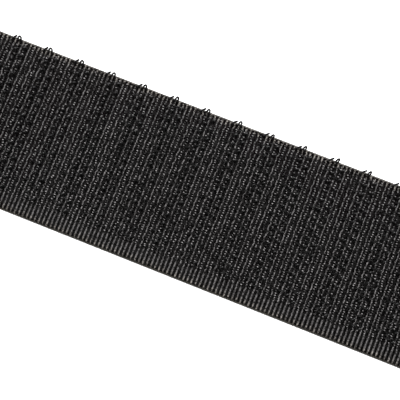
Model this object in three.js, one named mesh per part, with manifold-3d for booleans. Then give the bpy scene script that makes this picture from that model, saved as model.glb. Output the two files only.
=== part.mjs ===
// Roll of woven hook tape on a paperboard core, with its free end drawn out flat.
// The tape is wound with its hooks facing the core, so the drawn-out end leaves the
// bottom of the roll and lies on the table with its hooks up.
// Millimetres. X runs along the drawn-out tape to its free end, Y across it, Z up.

import * as THREE from "three";
import { mergeVertices } from "three/addons/utils/BufferGeometryUtils.js";
import Module from "manifold-3d";

// Tape
const tape_width = 25;
const tape_length = 2000;
const drawn_length = 108; // flat stretch, from the roll's lowest line to the cut end
const ground_thickness = 0.55; // woven ground with its back coating

// Core
const core_outer_diameter = 32;
const core_wall = 3;
const core_faces = 40;

// Winding
const core_seat_gap = 0.3; // between the core and the first turn
const turn_clearance = 0.15; // between the hook crowns and the back of the next turn
const steps_per_turn = 24;
const easing_steps = 2; // steps over which the last turn runs out level with the table

// Hook filaments. Each second filament of the tape is here, those whose hooks stand in line.
const rib_pitch = 0.6435; // from one cross rib of the ground to the next
const ribs_per_hook = 8;
const row_pitch = 1.477; // across the tape, from one filament to the next in line with it
const near_margin = 3.6; // from the near edge to the first place a filament may lie
const far_margin = 0.42; // from the far edge to the outermost filament
const filament_diameter = 0.2;
const binding_width = 0.05; // ground yarn that binds the filament down, on each side of it
const run_height = 0.12; // how far the bound filament stands above the ground
const end_margin = 1.23; // from the cut end to the first row of hooks
const nip_length = 6; // closed wedge where the flat stretch meets the roll
const hook_height = 1.45; // from the ground to the crown
const hook_bend_radius = 0.3; // of the filament's middle line
const hook_lean = 0.15; // how far the leg leans towards the far edge
const hook_skew = THREE.MathUtils.degToRad(35); // crook's heading, from back along the tape
const hook_tip_turn = Math.PI * 1.08; // angle that the crook turns through
const hook_steps = 3; // one for the leg and the rest for the crook
const hook_sides = 3;
const weld_share = 1 / 1000; // of the filament's diameter, within which two points are one

// Colours
const black_nylon = { color: 0x141414, roughness: 0.6, metalness: 0 };
const black_filament = { color: 0x1c1c1b, roughness: 0.35, metalness: 0 };
const kraft_board = { color: 0x8f7a60, roughness: 0.9, metalness: 0 };

const wasm = await Module();
wasm.setup();

// Sizes that follow from the ones above
const core_radius = core_outer_diameter / 2;
const first_radius = core_radius + core_seat_gap;
const turn_pitch = ground_thickness + hook_height + turn_clearance;
const step_angle = (2 * Math.PI) / steps_per_turn;
const easing_angle = easing_steps * step_angle;
const easing_loss = (turn_pitch * easing_angle) / (4 * Math.PI);
const wound_length = tape_length - drawn_length;
const wound_turns = turnsFor(wound_length);
const wound_angle = wound_turns * 2 * Math.PI;
const roll_radius = innerRadius(wound_angle) + ground_thickness;
const run_width = filament_diameter + 2 * binding_width;

// Turns that take up a length of tape, wound at a steady pitch from the first radius
function turnsFor(length) {
  const middle = first_radius + ground_thickness / 2;
  return (Math.sqrt(middle ** 2 + (turn_pitch * length) / Math.PI) - middle) / turn_pitch;
}

// Radius of the hook side of the tape after it has turned through an angle
function innerRadius(angle) {
  const growth = turn_pitch / (2 * Math.PI);
  const into_easing = angle - (wound_angle - easing_angle);
  if (into_easing <= 0) return first_radius + growth * angle;
  return first_radius + growth * (angle - into_easing ** 2 / (2 * easing_angle));
}

// Angles at which the winding has a fold line, counted back from the lowest line
function windingAngles() {
  const steps = Math.floor(wound_angle / step_angle);
  const angles = [];
  for (let i = steps; i >= 0; i--) angles.push(wound_angle - i * step_angle);
  if (angles[0] > step_angle / 2) angles.unshift(0);
  else angles[0] = 0;
  return angles;
}

// Point of the winding in its side view, at a radius and an angle. Here X is measured
// from the roll's lowest line, where the winding ends and the flat stretch starts.
function windingPoint(radius, angle) {
  const place = -Math.PI / 2 - (wound_angle - angle);
  return new THREE.Vector2(
    radius * Math.cos(place),
    roll_radius + radius * Math.sin(place),
  );
}

// Side view of the whole tape: the spiral and the flat stretch in one outline
function tapeOutline() {
  const angles = windingAngles();
  const back = angles.map((angle) => windingPoint(innerRadius(angle) + ground_thickness, angle));
  const front = angles.map((angle) => windingPoint(innerRadius(angle), angle));
  const cut_end = [
    new THREE.Vector2(drawn_length, 0),
    new THREE.Vector2(drawn_length, ground_thickness),
  ];
  back[back.length - 1].set(0, 0);
  front[front.length - 1].set(0, ground_thickness);
  return [...back, ...cut_end, ...front.reverse()];
}

// The least distance between the back of one turn and the hook side of the next,
// measured on points of the fold lines and between them
function leastGap() {
  const angles = windingAngles();
  const turn = 2 * Math.PI;
  const back = [];
  const front = [];
  for (let i = 1; i < angles.length; i++) {
    for (const share of [0, 1 / 2]) {
      const inner = [i - 1, i].map((k) => windingPoint(innerRadius(angles[k]), angles[k]));
      const outer = [i - 1, i].map((k) =>
        windingPoint(innerRadius(angles[k]) + ground_thickness, angles[k]),
      );
      const angle = THREE.MathUtils.lerp(angles[i - 1], angles[i], share);
      front.push({ angle, point: inner[0].clone().lerp(inner[1], share) });
      back.push({ angle, point: outer[0].clone().lerp(outer[1], share) });
    }
  }
  let least = Infinity;
  for (const a of back) {
    for (const b of front) {
      const turned = b.angle - a.angle;
      if (turned > turn / 2 && turned < turn * 2) {
        least = Math.min(least, a.point.distanceTo(b.point));
      }
    }
  }
  return least;
}

// Woven ground of the tape, from its leading end on the core to its cut end
function wovenGround() {
  const outline = new THREE.Shape(tapeOutline());
  const strip = new THREE.ExtrudeGeometry(outline, {
    depth: tape_width,
    bevelEnabled: false,
  });
  strip.rotateX(Math.PI / 2);
  strip.translate(0, tape_width / 2, 0);
  return strip;
}

// Paperboard tube, open right through
function coreTube() {
  const bore_radius = core_radius - core_wall;
  const half = tape_width / 2;
  const wall = [
    new THREE.Vector2(bore_radius, -half),
    new THREE.Vector2(core_radius, -half),
    new THREE.Vector2(core_radius, half),
    new THREE.Vector2(bore_radius, half),
    new THREE.Vector2(bore_radius, -half),
  ];
  return new THREE.LatheGeometry(wall, core_faces);
}

// Middle line of one hook: a leg that leans out, then a crook that turns back along the tape,
// askew towards the near edge. It stands on the bound run of its filament.
class HookPath extends THREE.Curve {
  constructor() {
    super();
    const leg_height = hook_height - filament_diameter / 2 - hook_bend_radius;
    this.foot = new THREE.Vector3(0, 0, run_height);
    this.leg_top = new THREE.Vector3(0, hook_lean, leg_height);
    this.heading = new THREE.Vector3(-Math.cos(hook_skew), -Math.sin(hook_skew), 0);
  }

  crook(share) {
    const turned = share * hook_tip_turn;
    const along = this.heading.clone().multiplyScalar(1 - Math.cos(turned));
    const offset = along.setZ(Math.sin(turned));
    return offset.multiplyScalar(hook_bend_radius).add(this.leg_top);
  }

  // Equal steps of t: the first step is the leg, the others share the crook
  getPoint(t) {
    const leg_share = 1 / hook_steps;
    if (t <= leg_share) return this.foot.clone().lerp(this.crook(0), t / leg_share);
    return this.crook((t - leg_share) / (1 - leg_share));
  }

  getPointAt(u) {
    return this.getPoint(u);
  }

  // The foot is cut square to the run, so that it sits on it face to face
  getTangentAt(u) {
    if (u === 0) return new THREE.Vector3(0, 0, 1);
    return this.getTangent(u);
  }
}

// Closed three.js geometry as a solid for joining
function solidOf(geometry) {
  const bare = geometry.index ? geometry.toNonIndexed() : geometry.clone();
  bare.deleteAttribute("normal");
  bare.deleteAttribute("uv");
  const merged = mergeVertices(bare, filament_diameter * weld_share);
  return new wasm.Manifold(
    new wasm.Mesh({
      numProp: 3,
      vertProperties: new Float32Array(merged.attributes.position.array),
      triVerts: new Uint32Array(merged.index.array),
    }),
  );
}

// Joined solid back as a three.js geometry
function geometryOf(solid) {
  const mesh = solid.getMesh();
  const geometry = new THREE.BufferGeometry();
  geometry.setAttribute("position", new THREE.BufferAttribute(mesh.vertProperties, 3));
  geometry.setIndex(new THREE.BufferAttribute(mesh.triVerts, 1));
  return geometry;
}

// One hook, swept along its middle line
function hook() {
  const section = new THREE.Shape();
  for (let i = 0; i < hook_sides; i++) {
    const angle = (i * 2 * Math.PI) / hook_sides;
    const x = (filament_diameter / 2) * Math.cos(angle);
    const y = (filament_diameter / 2) * Math.sin(angle);
    if (i === 0) section.moveTo(x, y);
    else section.lineTo(x, y);
  }
  section.closePath();
  return new THREE.ExtrudeGeometry(section, {
    steps: hook_steps,
    extrudePath: new HookPath(),
    bevelEnabled: false,
  });
}

// One filament of the drawn-out stretch: its run along the ground and its row of hooks
function hookFilament() {
  const run = new THREE.BoxGeometry(drawn_length, run_width, run_height);
  run.translate(drawn_length / 2, 0, run_height / 2);
  const hook_pitch = rib_pitch * ribs_per_hook;
  const hooked_length = drawn_length - end_margin - nip_length;
  const hooks = Math.floor(hooked_length / hook_pitch) + 1;
  const one_hook = solidOf(hook());
  let filament = solidOf(run);
  for (let i = 0; i < hooks; i++) {
    const place = drawn_length - end_margin - i * hook_pitch;
    filament = filament.add(one_hook.translate([place, 0, 0]));
  }
  return geometryOf(filament);
}

function named(name, geometry, finish) {
  const mesh = new THREE.Mesh(geometry, new THREE.MeshStandardMaterial(finish));
  mesh.name = name;
  return mesh;
}

// The roll stands with the middle of its length over the origin
const roll = new THREE.Group();
const side_view = new THREE.Box2().setFromPoints(tapeOutline());
roll.position.x = -side_view.getCenter(new THREE.Vector2()).x;

const core = named("core_tube", coreTube(), kraft_board);
core.position.z = roll_radius;
roll.add(core);

roll.add(named("woven_ground", wovenGround(), black_nylon));

const filament_geometry = hookFilament();
const filament_room = tape_width - near_margin - far_margin;
const filaments = Math.floor(filament_room / row_pitch) + 1;
for (let i = 0; i < filaments; i++) {
  const number = String(filaments - i).padStart(2, "0");
  const filament = named(`hook_filament_${number}`, filament_geometry, black_filament);
  filament.position.set(0, tape_width / 2 - far_margin - i * row_pitch, ground_thickness);
  roll.add(filament);
}

console.log(
  `tape wound in ${wound_turns.toFixed(2)} turns, roll radius ${roll_radius.toFixed(2)} mm, ` +
    `least gap of the tape to itself ${leastGap().toFixed(2)} mm`,
);

export default roll;
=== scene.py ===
# %% [markdown]
# A roll of woven hook tape on a paperboard core, with its free end drawn out flat. The tape is
# a narrow fabric: threads that run across it make ribs, threads that run along it show as small
# crowns on every second rib, and stiff single filaments stand up out of it as rows of hooks.
# Everything is built around the construction model, which gives the places and the sizes.

# %% Load the construction model
import math
import random

import bpy
import numpy as np
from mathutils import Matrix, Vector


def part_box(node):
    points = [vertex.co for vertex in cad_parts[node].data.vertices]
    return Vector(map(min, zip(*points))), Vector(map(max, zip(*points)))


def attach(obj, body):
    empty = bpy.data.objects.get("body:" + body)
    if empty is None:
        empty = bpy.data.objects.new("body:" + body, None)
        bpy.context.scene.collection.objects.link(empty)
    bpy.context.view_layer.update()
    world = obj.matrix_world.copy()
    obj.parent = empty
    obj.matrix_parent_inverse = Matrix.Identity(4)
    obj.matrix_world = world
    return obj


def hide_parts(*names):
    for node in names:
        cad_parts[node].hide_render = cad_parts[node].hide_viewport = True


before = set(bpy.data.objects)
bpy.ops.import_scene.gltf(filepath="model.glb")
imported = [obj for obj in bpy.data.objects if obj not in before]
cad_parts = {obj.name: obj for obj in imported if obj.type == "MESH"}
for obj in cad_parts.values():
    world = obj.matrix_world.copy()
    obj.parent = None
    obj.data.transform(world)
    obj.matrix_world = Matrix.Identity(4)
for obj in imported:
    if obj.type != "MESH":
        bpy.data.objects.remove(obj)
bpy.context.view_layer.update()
print("nodes in the construction model:", len(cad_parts))

# %% [markdown]
# The places come from the model: where the core is, how wide the tape is, how many hook filaments
# it has, and where the flat stretch lies. That runs from the roll line, where the roll touches
# the table, to the cut end. All lengths are in metres, and one millimetre has a short name
# because the weave is so fine.

# %% Sizes from the model
MM = 0.001
core_low, core_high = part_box("core_tube")
ground_low, ground_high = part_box("woven_ground")
core_centre = (core_low + core_high) / 2
core_radius = (core_high.x - core_low.x) / 2
near_edge = ground_low.y
far_edge = ground_high.y
tape_width = far_edge - near_edge
cut_end = ground_high.x
filament_nodes = sorted(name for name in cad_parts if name.startswith("hook_filament"))
rows = len(filament_nodes)
roll_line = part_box(filament_nodes[-1])[0].x
drawn_length = cut_end - roll_line
print("flat stretch in mm:", round(drawn_length / MM, 2), "by", round(tape_width / MM, 2))

# %% [markdown]
# The weave is set out from a few distances. A rib lies every 0.64 mm along the tape. A filament
# makes one hook in eight ribs, so eight ribs are one repeat of the pattern. They are numbered 1
# to 8. Every repeat begins with rib 5, and the hooks of the model's filaments stand between ribs
# 2 and 3, a little nearer to rib 2. The first hook is the one next to the cut end, and the first
# row is the one along the far edge.

# %% Sizes of the weave
rib_pitch = 0.6435 * MM
ribs_per_repeat = 8
repeat_length = rib_pitch * ribs_per_repeat
repeats = math.ceil(drawn_length / repeat_length)
row_pitch = 1.477 * MM
ground_thickness = 0.55 * MM
end_margin = 1.23 * MM
far_margin = 0.42 * MM
first_rib = 5
hook_rib = 2.5
rib_shift = 0.13 * MM
first_hook = cut_end - end_margin
first_row = far_edge - far_margin
repeats_end = first_hook + rib_shift + (first_rib - 0.5 - hook_rib) * rib_pitch
repeat_start = repeats_end - repeats * repeat_length
print("repeats along the flat stretch:", repeats, "rows of each kind:", rows)


def rib_place(number):
    """Where the middle of a rib lies along the tape, in the first repeat."""
    return repeat_start + ((number - first_rib) % ribs_per_repeat + 0.5) * rib_pitch


# %% [markdown]
# The camera looks down on the flat stretch at the photograph's angle: almost straight down, and
# turned so that the tape runs from the upper left to the lower right. It is close, and its lens
# is long enough to show only a part of the tape.

# %% Camera
camera_place = (39.04 * MM, -10.87 * MM, 104.34 * MM)
camera_elevation = 83.798
camera_tilt = math.radians(90 - camera_elevation)
camera_turn = math.radians(21.573)
camera_lens = 63
camera_near = 1 * MM
bpy.ops.object.select_all(action="DESELECT")
bpy.ops.object.camera_add(location=camera_place, rotation=(camera_tilt, 0, camera_turn))
camera = bpy.context.object
camera.data.lens = camera_lens
camera.data.clip_start = camera_near
bpy.context.scene.camera = camera
print("degrees above the horizon that the camera looks from:", camera_elevation)

# %% [markdown]
# The floor is plain and pale, with a slight glow of its own like a light table, so that the black
# tape stands on white. It lies a hair below the tape.

# %% Floor
floor_size = 4
floor_drop = 0.05 * MM
floor_colour = (0.9, 0.9, 0.9, 1)
floor_roughness = 0.9
floor_glow = 0.4
WHITE = (1, 1, 1, 1)
bpy.ops.object.select_all(action="DESELECT")
bpy.ops.mesh.primitive_plane_add(size=floor_size, location=(0, 0, -floor_drop))
floor = bpy.context.object
floor.name = "floor"
floor_finish = bpy.data.materials.new("pale_floor")
floor_finish.use_nodes = True
floor_shader = floor_finish.node_tree.nodes["Principled BSDF"]
floor_shader.inputs["Base Color"].default_value = floor_colour
floor_shader.inputs["Roughness"].default_value = floor_roughness
floor_shader.inputs["Specular IOR Level"].default_value = 0
floor_shader.inputs["Emission Color"].default_value = WHITE
floor_shader.inputs["Emission Strength"].default_value = floor_glow
floor.data.materials.append(floor_finish)
print("floor in metres:", floor_size, "by", floor_size)

# %% [markdown]
# One wide lamp overhead gives the ribs a light side. The sky is bright only near the horizon,
# where it is the backdrop of the side views, and dim above, so that the gaps in the weave stay
# dark. Colours are shown as they are, without a film look.

# %% Sky and lamp
horizon_light = 0.9
zenith_light = 0.1
horizon_top = 0.3
zenith_from = 0.6
lamp_place = (0.15, 0.25, 0.7)
lamp_size = 0.5
lamp_power = 12.1
sky = bpy.data.worlds.new("soft_sky")
sky.use_nodes = True
sky_nodes = sky.node_tree.nodes
sky_links = sky.node_tree.links
direction = sky_nodes.new("ShaderNodeTexCoord")
sky_split = sky_nodes.new("ShaderNodeSeparateXYZ")
sky_fading = sky_nodes.new("ShaderNodeMapRange")
sky_fading.inputs["From Min"].default_value = horizon_top
sky_fading.inputs["From Max"].default_value = zenith_from
sky_fading.inputs["To Min"].default_value = horizon_light
sky_fading.inputs["To Max"].default_value = zenith_light
sky_links.new(direction.outputs["Generated"], sky_split.inputs["Vector"])
sky_links.new(sky_split.outputs["Z"], sky_fading.inputs["Value"])
sky_links.new(sky_fading.outputs["Result"], sky_nodes["Background"].inputs["Strength"])
sky_nodes["Background"].inputs["Color"].default_value = WHITE
bpy.context.scene.world = sky
bpy.ops.object.light_add(type="AREA", location=lamp_place)
lamp = bpy.context.object
lamp.data.size = lamp_size
lamp.data.energy = lamp_power
lamp_aim = -lamp.location
lamp.rotation_euler = lamp_aim.to_track_quat("-Z", "Y").to_euler()
bpy.context.scene.view_settings.view_transform = "Standard"
print("lamp in watts:", lamp_power)

# %% [markdown]
# Yarn is made of fine fibres, so its finish has narrow streaks along the thread and a broad dull
# shine. Where fibres catch the light they glint, and beside them the yarn is nearly black. These
# glints are painted highlights: on yarn the colour itself changes from dark to light within a
# fifth of a millimetre. A noise gives the shade and another one, stretched along the thread,
# raises the streaks. A helper makes the nodes, because the yarn, the stiff filament, the coated
# back and the paperboard differ only in their numbers.

# %% A streaked finish
PER_MM = 1 / MM
shade_middle = 0.505
shade_detail = 3
streak_detail = 2
crisp_shade = 0.05
medium_shade = 0.15
soft_shade = 0.3


def grain(finish, scale, detail):
    """A noise on the object's own coordinates, with its scale per mm in each direction."""
    nodes = finish.node_tree.nodes
    links = finish.node_tree.links
    place = nodes.new("ShaderNodeTexCoord")
    stretch = nodes.new("ShaderNodeMapping")
    stretch.inputs["Scale"].default_value = [share * PER_MM for share in scale]
    noise = nodes.new("ShaderNodeTexNoise")
    noise.inputs["Scale"].default_value = 1
    noise.inputs["Detail"].default_value = detail
    links.new(place.outputs["Object"], stretch.inputs["Vector"])
    links.new(stretch.outputs["Vector"], noise.inputs["Vector"])
    return noise.outputs["Fac"]


def streaked_finish(
    name, dark, light, roughness, shine, shade_scale, streak_scale, streak_depth,
    softness=soft_shade,
):
    """A finish that changes between a dark and a light shade, with fine raised streaks.

    The softness says how gradually the shade changes."""
    finish = bpy.data.materials.new(name)
    finish.use_nodes = True
    nodes = finish.node_tree.nodes
    links = finish.node_tree.links
    shader = nodes["Principled BSDF"]
    shader.inputs["Roughness"].default_value = roughness
    shader.inputs["Specular IOR Level"].default_value = shine
    ramp = nodes.new("ShaderNodeValToRGB")
    ramp.name = "shade"
    ramp.color_ramp.elements[0].position = shade_middle - softness
    ramp.color_ramp.elements[0].color = (*dark, 1)
    ramp.color_ramp.elements[1].position = shade_middle + softness
    ramp.color_ramp.elements[1].color = (*light, 1)
    links.new(grain(finish, shade_scale, shade_detail), ramp.inputs["Fac"])
    links.new(ramp.outputs["Color"], shader.inputs["Base Color"])
    bump = nodes.new("ShaderNodeBump")
    bump.name = "streaks"
    bump.inputs["Strength"].default_value = 1
    bump.inputs["Distance"].default_value = streak_depth
    links.new(grain(finish, streak_scale, streak_detail), bump.inputs["Height"])
    links.new(bump.outputs["Normal"], shader.inputs["Normal"])
    return finish


# %% [markdown]
# Where a finish is darker or warmer than elsewhere, a layer multiplies its colour. The layer is
# put between the finish's own colour and its shader. A factor that rises smoothly from one limit
# to another says where such a change begins.

# %% Layers over a finish
def layer_over(finish):
    """A layer that multiplies a finish's colour by its input B, which is still to be set."""
    nodes = finish.node_tree.nodes
    links = finish.node_tree.links
    base = nodes["Principled BSDF"].inputs["Base Color"]
    layer = nodes.new("ShaderNodeMix")
    layer.data_type = "RGBA"
    layer.blend_type = "MULTIPLY"
    layer.inputs["Factor"].default_value = 1
    links.new(base.links[0].from_socket, layer.inputs["A"])
    links.new(layer.outputs["Result"], base)
    return layer


def darkened(finish, value, lowest, darkest):
    """Darkens a finish, from nothing where the value is 1 to the darkest share at its lowest."""
    nodes = finish.node_tree.nodes
    links = finish.node_tree.links
    fading = nodes.new("ShaderNodeMapRange")
    fading.inputs["From Min"].default_value = lowest
    fading.inputs["To Min"].default_value = darkest
    links.new(value, fading.inputs["Value"])
    links.new(fading.outputs["Result"], layer_over(finish).inputs["B"])


def place_on(finish, axis):
    """The place along one axis, from the object's own coordinates."""
    nodes = finish.node_tree.nodes
    place = nodes.new("ShaderNodeTexCoord")
    split = nodes.new("ShaderNodeSeparateXYZ")
    finish.node_tree.links.new(place.outputs["Object"], split.inputs["Vector"])
    return split.outputs[axis]


def eased(finish, value, limits, start=0):
    """A factor that rises smoothly to 1 as the value goes from one limit to the other."""
    rise = finish.node_tree.nodes.new("ShaderNodeMapRange")
    rise.interpolation_type = "SMOOTHSTEP"
    rise.inputs["To Min"].default_value = start
    rise.inputs["From Min"].default_value = limits[0]
    rise.inputs["From Max"].default_value = limits[1]
    finish.node_tree.links.new(value, rise.inputs["Value"])
    return rise.outputs["Result"]


# %% [markdown]
# Where yarn lies deep between its neighbours, shade is painted into its colour, down to nearly
# black. In the plain margin along the near edge its shade is more even, and towards both edges it
# is lighter and brownish.

# %% Painted depth shade, calm and warm yarn
# painted shade: yarn is darkened by its height, black below the lower height and untouched above
# the upper
painted_shade_heights = (0.11 * MM, 0.58 * MM)
hooked_from = near_edge + 2.1 * MM
hooked_fade = 0.5 * MM
calm_level = 0.493
calm_start = 0.3
warm_tint = (1.64, 1.58, 1.45)
warm_places = (far_edge - 1.2 * MM, far_edge - 0.2 * MM)


def paint_depth_shade(finish):
    """Paints shade into a finish: black at the lower of the shade heights, none at the upper."""
    factor = eased(finish, place_on(finish, "Z"), painted_shade_heights)
    finish.node_tree.links.new(factor, layer_over(finish).inputs["B"])


def calm(finish):
    """Evens the shade of a finish in the margin along the near edge."""
    nodes = finish.node_tree.nodes
    links = finish.node_tree.links
    shade = nodes["shade"].inputs["Fac"]
    limits = (hooked_from, hooked_from + hooked_fade)
    calming = nodes.new("ShaderNodeMix")
    calming.inputs["A"].default_value = calm_level
    links.new(eased(finish, place_on(finish, "Y"), limits, calm_start), calming.inputs["Factor"])
    links.new(shade.links[0].from_socket, calming.inputs["B"])
    links.new(calming.outputs["Result"], shade)


def warm(finish):
    """Makes a finish lighter and brownish towards both edges of the tape."""
    links = finish.node_tree.links
    sideways = finish.node_tree.nodes.new("ShaderNodeMath")
    sideways.operation = "ABSOLUTE"
    links.new(place_on(finish, "Y"), sideways.inputs[0])
    layer = layer_over(finish)
    layer.inputs["B"].default_value = (*warm_tint, 1)
    links.new(eased(finish, sideways.outputs["Value"], warm_places), layer.inputs["Factor"])


# %% [markdown]
# The threads across the tape, those along it and the inside of the tape are all nylon yarn, with
# their streaks along the thread. The inside is painted nearly black, which is painted shade of
# the deep places between the ribs. The filament is one thick smooth strand, so it is glossier and
# has hardly any streaks.

# %% Yarn and filament
yarn_roughness = 0.6
yarn_shine = 0.06
yarn_relief = 0.01 * MM
speck_scale = (5, 5, 5)
# painted highlights: the light specks of the rib yarn stand for fibres catching the lamp
across_yarn = streaked_finish(
    "yarn_across",
    dark=(0.004, 0.0034, 0.0034),
    light=(0.158, 0.1515, 0.151),
    roughness=yarn_roughness,
    shine=yarn_shine,
    shade_scale=speck_scale,
    streak_scale=(28, 5, 28),
    streak_depth=yarn_relief,
    softness=crisp_shade,
)
calm(across_yarn)
warm(across_yarn)
paint_depth_shade(across_yarn)
# the crowns' yarn is painted lighter than the ribs': painted highlights on the crowns' tops
along_yarn = streaked_finish(
    "yarn_along",
    dark=(0.004, 0.0034, 0.0034),
    light=(0.303, 0.291, 0.29),
    roughness=yarn_roughness,
    shine=yarn_shine,
    shade_scale=speck_scale,
    streak_scale=(5, 28, 28),
    streak_depth=yarn_relief,
    softness=crisp_shade,
)
paint_depth_shade(along_yarn)
# the inside is nylon yarn, painted nearly black: painted shade of the deep places between the ribs
inner_yarn_painted_shade = streaked_finish(
    "yarn_inside",
    dark=(0.001, 0.0008, 0.0008),
    light=(0.01, 0.0094, 0.0094),
    roughness=0.9,
    shine=0.03,
    shade_scale=speck_scale,
    streak_scale=(9, 20, 9),
    streak_depth=yarn_relief,
    softness=crisp_shade,
)
stiff_filament = streaked_finish(
    "stiff_filament",
    dark=(0.004, 0.004, 0.004),
    light=(0.012, 0.0118, 0.0116),
    roughness=0.25,
    shine=0.4,
    shade_scale=(2, 2, 2),
    streak_scale=(4, 4, 4),
    streak_depth=0.002 * MM,
)
print("finishes so far:", across_yarn.name, along_yarn.name, inner_yarn_painted_shade.name, stiff_filament.name)

# %% [markdown]
# The back of the tape has a thin coating, through which the weave shows as a chequer of low
# bumps. Between them painted shade darkens the colour. The chequer is one wave along the tape
# times another across it. It follows the strip's own map, which counts threads in both
# directions, so it bends with the roll.

# %% Coated back
weave_depth = 0.04 * MM
painted_valley_shade = 0.5
coated_back = streaked_finish(
    "coated_back",
    dark=(0.01, 0.01, 0.01),
    light=(0.03, 0.0295, 0.029),
    roughness=0.55,
    shine=0.35,
    shade_scale=(0.6, 0.6, 0.6),
    streak_scale=(9, 9, 9),
    streak_depth=0.004 * MM,
    softness=medium_shade,
)
back_nodes = coated_back.node_tree.nodes
back_links = coated_back.node_tree.links
back_map = back_nodes.new("ShaderNodeTexCoord")
back_split = back_nodes.new("ShaderNodeSeparateXYZ")
back_links.new(back_map.outputs["UV"], back_split.inputs["Vector"])


def thread_wave(axis):
    """A wave along one axis of the map. Each thread takes half a wave."""
    turn = back_nodes.new("ShaderNodeMath")
    turn.operation = "MULTIPLY"
    turn.inputs[1].default_value = math.pi
    wave = back_nodes.new("ShaderNodeMath")
    wave.operation = "SINE"
    back_links.new(back_split.outputs[axis], turn.inputs[0])
    back_links.new(turn.outputs["Value"], wave.inputs[0])
    return wave.outputs["Value"]


chequer = back_nodes.new("ShaderNodeMath")
chequer.operation = "MULTIPLY"
back_links.new(thread_wave("X"), chequer.inputs[0])
back_links.new(thread_wave("Y"), chequer.inputs[1])
weave_bump = back_nodes.new("ShaderNodeBump")
weave_bump.inputs["Distance"].default_value = weave_depth
back_links.new(chequer.outputs["Value"], weave_bump.inputs["Height"])
back_links.new(weave_bump.outputs["Normal"], back_nodes["streaks"].inputs["Normal"])
# painted shade in the hollows between the bumps of the weave
darkened(coated_back, chequer.outputs["Value"], lowest=-1, darkest=painted_valley_shade)
print("depth of the weave on the back in mm:", weave_depth / MM)

# %% [markdown]
# A woven tape repeats the same few threads thousands of times. Each could be modelled by itself,
# but that would take very long, so what repeats is modelled once and copied by an array, which is
# applied at once. An operator works on all that is selected, so pieces are selected in code
# before each one.

# %% Selecting, joining and repeating
weld_distance = 0.001 * MM


def choose(pieces):
    """Selects these pieces alone, the first of them active."""
    bpy.ops.object.select_all(action="DESELECT")
    for piece in pieces:
        piece.select_set(True)
    bpy.context.view_layer.objects.active = pieces[0]


def joined(pieces):
    """Several pieces as one."""
    choose(pieces)
    if len(pieces) > 1:
        bpy.ops.object.join()
    return bpy.context.object


def repeated(piece, count, step, welded=False):
    """The piece and its copies, a step apart, as one mesh. Welded copies share their rims."""
    choose([piece])
    bpy.ops.object.modifier_add(type="ARRAY")
    array = piece.modifiers[-1]
    array.count = count
    array.use_relative_offset = False
    array.use_constant_offset = True
    array.constant_offset_displace = step
    array.use_merge_vertices = welded
    array.merge_threshold = weld_distance
    bpy.ops.object.modifier_apply(modifier=array.name)
    return piece


def place_in_mesh(piece):
    """The piece's place goes into its mesh, so that its object sits at the origin."""
    choose([piece])
    bpy.ops.object.transform_apply(location=True, rotation=True, scale=True)


# %% [markdown]
# Real threads never lie quite evenly. Operators could move the copies one after the other, but
# there are too many. So the points of a mesh are read as rows of numbers, shifted a little, each
# copy by its own amount, and written back. What would then reach below the tape's back is pressed
# flat.

# %% Points of a mesh
pressed_height = 0.05 * MM
pressed_share = 0.1
weave_seed = 4
random.seed(weave_seed)


def points_of(piece):
    """The piece's points as rows of x, y and z."""
    flat = np.empty(len(piece.data.vertices) * 3)
    piece.data.vertices.foreach_get("co", flat)
    return flat.reshape(-1, 3)


def set_points(piece, points):
    """Moves the piece's points to these places."""
    piece.data.vertices.foreach_set("co", points.ravel())
    piece.data.update()


def press_flat(points):
    """Presses flat what would otherwise reach below the tape's back."""
    low = points[:, 2] < pressed_height
    points[low, 2] = pressed_height + (points[low, 2] - pressed_height) * pressed_share


def unsettle(piece, block, spread):
    """Each copy in a repeated piece sits a little off its even place."""
    points = points_of(piece)
    copies = len(points) // block
    shifts = np.array([[random.gauss(0, reach) for reach in spread] for _ in range(copies)])
    points += np.repeat(shifts, block, axis=0)
    press_flat(points)
    set_points(piece, points)


# %% [markdown]
# A thread bends tightly, and a cylinder bent so far would lose its roundness. So each thread is
# drawn as a curve through a few points, given a round section, and turned into a mesh. Closed
# ends come from the curve's own caps. The curve operator adds a path that is selected, so nothing
# else may be selected first.

# %% A thread from a few points
def thread(points, radius, rings, roundness, shares=None):
    """A round thread on a smooth path through the points, as a closed mesh.

    Rings is how finely it follows the path, roundness how finely its section is rounded. The
    shares thin it at the points."""
    bpy.ops.object.select_all(action="DESELECT")
    bpy.ops.curve.primitive_bezier_curve_add()
    path = bpy.context.object
    knots = path.data.splines[0].bezier_points
    knots.add(len(points) - len(knots))
    for knot, place in zip(knots, points):
        knot.co = place
        knot.handle_left_type = "AUTO"
        knot.handle_right_type = "AUTO"
    for knot, share in zip(knots, shares or ()):
        knot.radius = share
    path.data.resolution_u = rings
    path.data.bevel_depth = radius
    path.data.bevel_resolution = roundness
    path.data.use_fill_caps = True
    bpy.ops.object.convert(target="MESH")
    return bpy.context.object


# %% [markdown]
# A bar is cut by subdividing the edges that run along it. They are found by their direction, and
# selected in code. Every finished piece then gets its name, its finish and the body it rides on.

# %% Cutting and finishing a piece
ALONG = 0
ACROSS = 1


def cut_along(piece, axis, cuts):
    """Cuts every edge that runs along one axis into equal lengths."""
    points = points_of(piece)
    bpy.ops.object.mode_set(mode="EDIT")
    bpy.ops.mesh.select_mode(type="EDGE")
    bpy.ops.mesh.select_all(action="DESELECT")
    bpy.ops.object.mode_set(mode="OBJECT")
    for edge in piece.data.edges:
        span = np.abs(points[edge.vertices[0]] - points[edge.vertices[1]])
        edge.select = bool(span[axis] > span.sum() / 2)
    bpy.ops.object.mode_set(mode="EDIT")
    bpy.ops.mesh.subdivide(number_cuts=cuts)
    bpy.ops.object.mode_set(mode="OBJECT")


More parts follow.
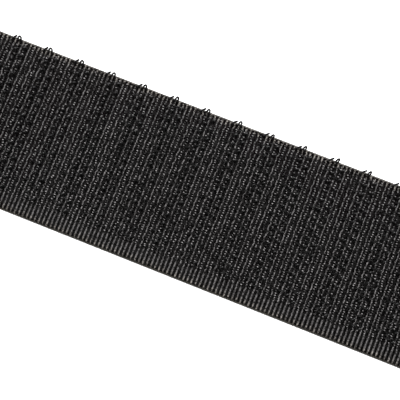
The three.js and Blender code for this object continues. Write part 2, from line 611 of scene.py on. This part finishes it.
def finished(piece, name, finish):
    """Names a piece, gives it its finish and lets it ride on the part."""
    piece.name = name
    piece.data.name = name
    piece.data.materials.clear()
    piece.data.materials.append(finish)
    choose([piece])
    bpy.ops.object.shade_smooth()
    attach(piece, "root")
    print(name, "faces:", len(piece.data.polygons))


# %% [markdown]
# The ribs are the threads that run across the tape. Ribs 1, 3, 5 and 7 of a repeat lie on top.
# Each stands out for one half of the row pitch and sinks for the other half, and sways a little.
# Three tables say of these ribs where they stand out, how wide they are and how far they sway.
# Ribs 2, 4, 6 and 8 lie deeper, under the crowns. In the margins all ribs lie level, and at both
# edges they thin and turn down.

# %% Sizes of the ribs
rib_sides = 6
rib_half_width = 0.135 * MM
rib_half_height = 0.15 * MM
high_rib_centre = 0.38 * MM
low_rib_centre = 0.1 * MM
rib_swell = 0.035 * MM
rib_sway = 0.055 * MM
rib_near = near_edge + 0.08 * MM
rib_far = far_edge + 0.06 * MM
rib_length = rib_far - rib_near
loop_length = 0.15 * MM
loop_drop = 0.14 * MM
loop_size = 0.6
hooked_to = far_edge - 0.4 * MM
margin_widening = 0.12
stand_out_shares = {1: 0.25, 3: 0.75, 5: 0.1, 7: 0.75}
rib_shares = {1: 1, 3: 0.93, 5: 0.75, 7: 0.78}
sway_shares = {1: 0.8, 3: 0.3, 5: 0.3, 7: -0.8}
print("a rib in mm:", round(rib_length / MM, 2), "long", round(2 * rib_half_width / MM, 2), "wide")

# %% [markdown]
# One rib is a long six-sided bar along Y. It is cut into short lengths in edit mode, so that it
# can swell and dip where threads cross it. The operator makes at most a hundred cuts, so the bar
# is halved first.

# %% One rib
def woven_share(y):
    """1 where the ribs are woven with hooks, and 0 in the plain margins."""
    return np.clip(np.minimum(y - hooked_from, hooked_to - y) / hooked_fade, 0, 1)


def rib(number, half_cuts):
    """One rib of the repeat, in place. Each half of it gets its own cuts."""
    bpy.ops.object.select_all(action="DESELECT")
    bpy.ops.mesh.primitive_cylinder_add(
        vertices=rib_sides,
        radius=1,
        depth=1,
        location=(0, (rib_near + rib_far) / 2, 0),
        rotation=(math.radians(90), 0, 0),
    )
    bar = bpy.context.object
    bar.scale = (rib_half_width, rib_half_height, rib_length)
    place_in_mesh(bar)
    cut_along(bar, ACROSS, 1)
    cut_along(bar, ACROSS, half_cuts)
    points = points_of(bar)
    y = points[:, 1]
    phase = (first_row - y) / row_pitch
    woven = woven_share(y)
    end_taper = np.clip(np.minimum(y - rib_near, rib_far - y) / loop_length, 0, 1)
    size = loop_size + (1 - loop_size) * end_taper
    points[:, 0] *= size * (1 + margin_widening * (1 - woven))
    points[:, 2] *= size
    points[:, 2] -= loop_drop * (1 - end_taper)
    if number in stand_out_shares:
        swell = np.cos(2 * np.pi * (phase - stand_out_shares[number]))
        points[:, 0] *= 1 - (1 - rib_shares[number]) * woven
        points[:, 0] += rib_sway * sway_shares[number] * np.cos(2 * np.pi * phase) * woven
        points[:, 2] += high_rib_centre + rib_swell * swell * woven
    else:
        points[:, 2] += high_rib_centre - (high_rib_centre - low_rib_centre) * woven
    points[:, 0] += rib_place(number)
    set_points(bar, points)
    return bar


# %% [markdown]
# The ribs of one repeat are joined and repeated along the flat stretch. Then each ring of each
# rib moves a little, because yarn is never quite even. In the plain margin along the near edge
# the real ribs do lie evenly, so there they stay.

# %% Ribs across the tape
high_half_cuts = 94
low_half_cuts = 30
rib_wobble = (0.04 * MM, 0, 0.075 * MM)


def ribs_across(name, numbers, half_cuts, seed):
    """Some ribs of every repeat. Each ring of a rib sits a little off its even place."""
    one_repeat = joined([rib(number, half_cuts) for number in numbers])
    ribs = repeated(one_repeat, repeats, (repeat_length, 0, 0))
    points = points_of(ribs)
    bar = ((points[:, 0] - repeat_start) / rib_pitch).astype(int)
    rings = 2 * (half_cuts + 1)
    ring = np.rint((points[:, 1] - rib_near) / rib_length * rings).astype(int)
    shape = (repeats * ribs_per_repeat + 1, rings + 1, 3)
    wobble = np.random.default_rng(seed).normal(0, 1, shape) * rib_wobble
    y = points[:, 1:2]
    points += wobble[bar, ring] * np.maximum(woven_share(y), y > 0)
    press_flat(points)
    set_points(ribs, points)
    finished(ribs, name, across_yarn)
    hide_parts("woven_ground")


ribs_across("ribs_high", (1, 3, 5, 7), high_half_cuts, seed=3)
ribs_across("ribs_low", (2, 4, 6, 8), low_half_cuts, seed=5)

# %% [markdown]
# The threads that run along the tape come up over every low rib and go down under every high
# one. Only the part that shows is modelled, the crown over the low rib, whose two ends go down
# beside the rib into the body of the tape. Four threads lie in each row pitch. Where a hook's
# leg stands there is no crown but a dark hole. Each repeat has two, given by rib and thread.

# %% Crowns along the tape
crown_radius = 0.09 * MM
crown_rises = {2: 0.45 * MM, 4: 0.45 * MM, 6: 0.4 * MM, 8: 0.4 * MM}
crown_foot = 0.1 * MM
crowns_per_row = 4
crown_pitch = row_pitch / crowns_per_row
crown_phase = 0.0625
crown_reach = (-0.24, -0.08, 0.08, 0.24)
crown_heights = (0, 1, 1, 0)
crown_shares = (0.5, 1, 1, 0.5)
crown_shift = -0.08 * MM
crown_spread = (0.06 * MM, 0.03 * MM, 0.04 * MM)
hook_holes = {(2, 0), (4, 2)}


def crown(number, line):
    """The crown of one thread over one low rib of the repeat."""
    crown_x = rib_place(number) + crown_shift
    crown_y = first_row - crown_phase * row_pitch - line * crown_pitch
    rise = crown_rises[number] - crown_foot
    points = [
        (crown_x + reach * rib_pitch, crown_y, crown_foot + rise * height)
        for reach, height in zip(crown_reach, crown_heights)
    ]
    return thread(points, crown_radius, rings=1, roundness=1, shares=crown_shares)


crown_places = [(number, line) for number in crown_rises for line in range(crowns_per_row)]
crown_pieces = [crown(*place) for place in crown_places if place not in hook_holes]
crown_size = len(crown_pieces[0].data.vertices)
crowns = joined(crown_pieces)
repeated(crowns, repeats, (repeat_length, 0, 0))
repeated(crowns, rows, (0, -row_pitch, 0))
unsettle(crowns, crown_size, crown_spread)
finished(crowns, "threads_along", along_yarn)
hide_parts("woven_ground")

# %% [markdown]
# Under the ribs lies the body of the tape: yarn and coating. Its threads could be modelled too,
# but between the ribs only darkness shows. So it is a thin slab with rounded edges, and its
# near-black finish is painted shade.

# %% Body of the flat stretch
body_top = 0.06 * MM
body_rounding = 0.02 * MM
body_segments = 2
bpy.ops.object.select_all(action="DESELECT")
bpy.ops.mesh.primitive_cube_add(size=1)
body = bpy.context.object
body.scale = (cut_end - repeat_start, tape_width, body_top)
body.location = ((repeat_start + cut_end) / 2, (near_edge + far_edge) / 2, body_top / 2)
place_in_mesh(body)
bpy.ops.object.mode_set(mode="EDIT")
bpy.ops.mesh.select_all(action="SELECT")
bpy.ops.mesh.bevel(offset=body_rounding, segments=body_segments)
bpy.ops.object.mode_set(mode="OBJECT")
finished(body, "tape_body", inner_yarn_painted_shade)
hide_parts("woven_ground")

# %% [markdown]
# Along each edge the ribs turn down around a thin brownish cord, which shows as a fine rim. The
# near cord's brownish tint is its own, but its darkness is painted shade on the rounded edge. The
# far one is lighter and lies higher. A cord is straight, so a thread through two points makes it.

# %% Selvedges
cord_radius = 0.13 * MM
near_cord = (near_edge + 0.02 * MM, 0.24 * MM)
far_cord = (far_edge, 0.36 * MM)
# the near cord: its own brownish tint, with painted shade of the rounded edge making it dark
near_cord_painted_shade = streaked_finish(
    "yarn_near_edge",
    dark=(0.009, 0.008, 0.006),
    light=(0.024, 0.021, 0.0155),
    roughness=yarn_roughness,
    shine=0.15,
    shade_scale=(1, 1, 1),
    streak_scale=(9, 20, 9),
    streak_depth=yarn_relief,
)
far_yarn = streaked_finish(
    "yarn_far_edge",
    dark=(0.025, 0.023, 0.021),
    light=(0.16, 0.15, 0.138),
    roughness=yarn_roughness,
    shine=0.2,
    shade_scale=(3, 3, 3),
    streak_scale=(9, 20, 9),
    streak_depth=yarn_relief,
    softness=medium_shade,
)


def selvedge(name, cord_place, finish):
    """The cord along one edge of the flat stretch, at its place across and its height."""
    ends = [(x, *cord_place) for x in (repeat_start, cut_end)]
    cord = thread(ends, cord_radius, rings=4, roundness=1)
    finished(cord, name, finish)
    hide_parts("woven_ground")


selvedge("near_selvedge", near_cord, near_cord_painted_shade)
selvedge("far_selvedge", far_cord, far_yarn)

# %% [markdown]
# A hook filament is woven in as tall loops, and each loop is cut on one side. So once in each
# repeat it has a crook, a run that lies hidden in the ground, and a slanted stub where the next
# loop was cut. The crook's top turns back along the tape, somewhat askew. One thread makes all
# of this. The points of a crook and of the stub before it are in millimetres from its foot.

# %% One hook
filament_radius = 0.12 * MM
crook_points = (
    (-0.26, -0.2, 1.12),
    (-0.25, -0.1, 1.4),
    (-0.06, 0.05, 1.6),
    (0.13, 0.14, 1.34),
    (0.08, 0.1, 0.8),
    (0, 0, 0.3),
)
stub_points = (
    (-1.4, 0, 0.42),
    (-1.1, 0.08, 0.9),
    (-0.6, 0.22, 1.3),
)
run_height = 0.03 * MM
run_ribs = (0.5, 5.5)
run_share = 0.35


def hook_thread(hook_x, row_y, radius):
    """One repeat of a filament: its crook stands at hook_x, its stub before the next crook."""
    points = [(hook_x + x * MM, row_y + y * MM, z * MM) for x, y, z in crook_points]
    points += [(hook_x + ribs * rib_pitch, row_y, run_height) for ribs in run_ribs]
    next_x = hook_x + repeat_length
    points += [(next_x + x * MM, row_y + y * MM, z * MM) for x, y, z in stub_points]
    shares = [1] * len(crook_points) + [run_share] * len(run_ribs) + [1] * len(stub_points)
    return thread(points, radius, rings=2, roundness=1, shares=shares)


def lean_hooks(piece, lean, spread, block):
    """Each hook leans by its own small amount along and across, more towards its top."""
    points = points_of(piece)
    tall = np.clip(points[:, 2] - ground_thickness, 0, None)
    for start in range(0, len(points), block):
        part = slice(start, start + block)
        points[part, 0] += tall[part] * random.gauss(0, spread[0])
        points[part, 1] += tall[part] * random.gauss(lean, spread[1])
    press_flat(points)
    set_points(piece, points)


# %% [markdown]
# Each filament node of the model becomes a row of hooks. Half a row pitch beside it runs another
# filament, with its hooks two ribs further on. Along the far edge the hooks lean outward, so that
# their rings show past it. Against the bright floor a thin thread fades, so that row's thread is
# a little thicker.

# %% Rows of hooks
between_shift = 2 * rib_pitch
lean_spread = (0.08, 0.08)
far_radius = 0.14 * MM
far_lean = 0.55
far_lean_spread = (0.05, 0.05)


def filament(row_y, hook_shift=0, lean=0, spread=lean_spread, radius=filament_radius):
    """A row of hooks along the whole flat stretch."""
    piece = hook_thread(first_hook + hook_shift - repeats * repeat_length, row_y, radius)
    block = len(piece.data.vertices)
    repeated(piece, repeats, (repeat_length, 0, 0))
    lean_hooks(piece, lean, spread, block)
    return piece


for number, node in enumerate(reversed(filament_nodes)):
    row_y = first_row - number * row_pitch
    if number == 0:
        row = filament(row_y, lean=far_lean, spread=far_lean_spread, radius=far_radius)
    else:
        row = filament(row_y)
    finished(row, node + "_hooks", stiff_filament)
    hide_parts(node)
    between = filament(row_y - row_pitch / 2, between_shift)
    finished(between, node + "_between", stiff_filament)

# %% [markdown]
# The rest of the tape is wound on the core with its hooks inward. A curve modifier could wind it,
# but where each point goes can be worked out exactly, the same for the tape and all its hooks. So
# each is modelled straight first, to the left of the flat stretch, and then bent. The bend is a
# spiral that grows by one thickness of hooked tape in each turn. Near its end it runs out level,
# so that the strip meets the flat stretch without a kink.

# %% The bend of the roll
roll_radius = core_centre.z
turn_pitch = 2.15 * MM
core_seat_gap = 0.3 * MM
easing_angle = math.radians(30)
first_radius = core_radius + core_seat_gap
middle_radius = first_radius + ground_thickness / 2
growth = turn_pitch / (2 * math.pi)
wound_angle = (roll_radius - ground_thickness - first_radius) / growth + easing_angle / 2


def length_wound(angle):
    """Length of tape that takes up an angle of the spiral, from its inner end."""
    return middle_radius * angle + growth * angle**2 / 2


wound_length = length_wound(wound_angle)
print("turns on the roll:", round(wound_angle / (2 * math.pi), 2))


def wind(piece):
    """Bends a straight piece that lies left of the roll line onto the spiral."""
    points = points_of(piece)
    along = np.clip(wound_length + points[:, 0] - roll_line, 0, wound_length)
    angle = (np.sqrt(middle_radius**2 + 2 * growth * along) - middle_radius) / growth
    easing = np.clip(angle - (wound_angle - easing_angle), 0, None)
    back = first_radius + ground_thickness + growth * (angle - easing**2 / (2 * easing_angle))
    place = angle - wound_angle - math.pi / 2
    left = points[:, 0] < roll_line
    radius = back - points[:, 2]
    points[left, 0] = (roll_line + radius * np.cos(place))[left]
    points[left, 2] = (roll_radius + radius * np.sin(place))[left]
    set_points(piece, points)


# %% [markdown]
# The strip is one short block, a rib long and as wide as the tape, repeated nearly three thousand
# times. Its hook side is domed to a rib and its back almost flat, and its long edges are
# rounded. The two end faces of the block are taken out, so that its copies join into one skin.

# %% One block of the wound ground
strip_top = 0.5 * MM
strip_valley = 0.12 * MM
back_valley = 0.02 * MM
edge_band = 0.16 * MM
edge_shrink = 0.45
cuts_along = 3
cuts_across = 2
end_facing = 0.9
outer_from = 0.4
bpy.ops.object.select_all(action="DESELECT")
bpy.ops.mesh.primitive_cube_add(size=1)
strip = bpy.context.object
cut_along(strip, ALONG, cuts_along)
cut_along(strip, ACROSS, cuts_across)
bpy.ops.object.mode_set(mode="EDIT")
bpy.ops.mesh.select_mode(type="FACE")
bpy.ops.mesh.select_all(action="DESELECT")
bpy.ops.object.mode_set(mode="OBJECT")
for face in strip.data.polygons:
    face.select = abs(face.normal.x) > end_facing
bpy.ops.object.mode_set(mode="EDIT")
bpy.ops.mesh.delete(type="FACE")
bpy.ops.object.mode_set(mode="OBJECT")
points = points_of(strip)
dome = np.cos(math.pi * points[:, 0]) ** 2
outer = np.abs(points[:, 1]) > outer_from
top = points[:, 2] > 0
points[:, 2] = np.where(top, strip_top - strip_valley * (1 - dome), back_valley * (1 - dome))
points[outer, 2] = strip_top / 2 + (points[outer, 2] - strip_top / 2) * edge_shrink
half_width = tape_width / 2
points[:, 1] = np.sign(points[:, 1]) * np.where(outer, half_width, half_width - edge_band)
wound_ribs = int(wound_length / rib_pitch)
points[:, 0] = repeat_start + (points[:, 0] - wound_ribs + 0.5) * rib_pitch
set_points(strip, points)
print("ribs on the wound stretch:", wound_ribs)

# %% [markdown]
# The copies are welded together, and the two open ends of the strip get a face each. Its map
# counts ribs along the tape and threads across it, for the chequer on the coated back. Last the
# strip is bent.

# %% Ground of the wound stretch
repeated(strip, wound_ribs, (rib_pitch, 0, 0), welded=True)
bpy.ops.object.mode_set(mode="EDIT")
bpy.ops.mesh.select_mode(type="EDGE")
bpy.ops.mesh.select_all(action="DESELECT")
bpy.ops.mesh.select_non_manifold()
bpy.ops.mesh.edge_face_add()
bpy.ops.object.mode_set(mode="OBJECT")
strip_map = strip.data.uv_layers.active or strip.data.uv_layers.new()
corners = np.empty(len(strip.data.loops), dtype=int)
strip.data.loops.foreach_get("vertex_index", corners)
places = points_of(strip)[corners]
threads = np.stack([places[:, 0] / rib_pitch, places[:, 1] / crown_pitch], axis=1)
strip_map.data.foreach_set("uv", threads.ravel())
wind(strip)
finished(strip, "wound_ground", coated_back)
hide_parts("woven_ground")

# %% [markdown]
# Hooks fill the space between the turns. There are more than ten thousand, so each has only a
# few faces, and each piece holds five rows. Winding presses them, so they lean more. Each row is
# shifted along the tape by its own amount, so that less light falls straight through between the
# turns. For the first 210 degrees the tape lies too close to the core for standing hooks, so it
# has none there.

# %% Hooks between the turns
rows_per_piece = 5
row_drift = 1.6 * MM
wound_spread = (0.8, 0.15)
wound_height = 1.17
hookless_angle = math.radians(210)
wound_hooks = int((wound_length - length_wound(hookless_angle)) / repeat_length)


def wound_rows(name, first_y, hook_shift=0):
    """Some rows of hooks along the wound stretch."""
    hook_x = first_hook + hook_shift - (repeats + wound_hooks) * repeat_length
    parts = []
    for shape in (crook_points, stub_points):
        points = [(hook_x + x * MM, first_y + y * MM, z * wound_height * MM) for x, y, z in shape]
        part = thread(points, filament_radius, rings=1, roundness=0)
        block = len(part.data.vertices)
        repeated(part, wound_hooks, (repeat_length, 0, 0))
        repeated(part, rows_per_piece, (0, -row_pitch, 0))
        unsettle(part, block * wound_hooks, (row_drift, 0, 0))
        lean_hooks(part, lean=0, spread=wound_spread, block=block)
        parts.append(part)
    hooks = joined(parts)
    wind(hooks)
    finished(hooks, name, stiff_filament)


for first in range(0, rows, rows_per_piece):
    rows_y = first_row - first * row_pitch
    wound_rows(f"wound_hooks_{first + 1:02d}", rows_y)
    wound_rows(f"wound_hooks_{first + 1:02d}_between", rows_y - row_pitch / 2, between_shift)

# %% [markdown]
# The core is a tube of rolled paperboard. Its plies show on the end faces as rings around its
# axis. They are too thin to model, so a ringed wave texture, centred on the core, darkens the
# board between them.

# %% Paperboard
ply_scale = 0.5
ply_shade = 0.75
ply_waviness = 1
board = streaked_finish(
    "paperboard",
    dark=(0.2, 0.14, 0.085),
    light=(0.3, 0.215, 0.14),
    roughness=0.85,
    shine=0.2,
    shade_scale=(0.3, 0.3, 0.3),
    streak_scale=(3, 12, 3),
    streak_depth=0.02 * MM,
)
board_nodes = board.node_tree.nodes
board_links = board.node_tree.links
board_place = board_nodes.new("ShaderNodeTexCoord")
board_map = board_nodes.new("ShaderNodeMapping")
board_map.inputs["Location"].default_value = [-part * PER_MM for part in core_centre]
board_map.inputs["Scale"].default_value = [PER_MM] * 3
plies = board_nodes.new("ShaderNodeTexWave")
plies.wave_type = "RINGS"
plies.rings_direction = "Y"
plies.inputs["Scale"].default_value = ply_scale
plies.inputs["Distortion"].default_value = ply_waviness
board_links.new(board_place.outputs["Object"], board_map.inputs["Vector"])
board_links.new(board_map.outputs["Vector"], plies.inputs["Vector"])
darkened(board, plies.outputs["Fac"], lowest=0, darkest=ply_shade)
print("darkest ply:", ply_shade)

# %% [markdown]
# The tube could be turned from an outline, but it starts more simply as a cylinder without ends.
# One modifier gives it its wall, inwards, and another rounds its rims slightly, as a cut tube's
# are.

# %% Paperboard core
core_wall = 3 * MM
core_faces = 128
rim_rounding = 0.25 * MM
rim_segments = 3
bpy.ops.object.select_all(action="DESELECT")
bpy.ops.mesh.primitive_cylinder_add(
    vertices=core_faces,
    radius=core_radius,
    depth=tape_width,
    end_fill_type="NOTHING",
    location=core_centre,
    rotation=(math.radians(90), 0, 0),
)
core = bpy.context.object
bpy.ops.object.modifier_add(type="SOLIDIFY")
core.modifiers[-1].thickness = core_wall
core.modifiers[-1].offset = -1
bpy.ops.object.modifier_apply(modifier=core.modifiers[-1].name)
bpy.ops.object.modifier_add(type="BEVEL")
core.modifiers[-1].width = rim_rounding
core.modifiers[-1].segments = rim_segments
core.modifiers[-1].limit_method = "ANGLE"
bpy.ops.object.modifier_apply(modifier=core.modifiers[-1].name)
place_in_mesh(core)
finished(core, "paperboard_core", board)
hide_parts("core_tube")
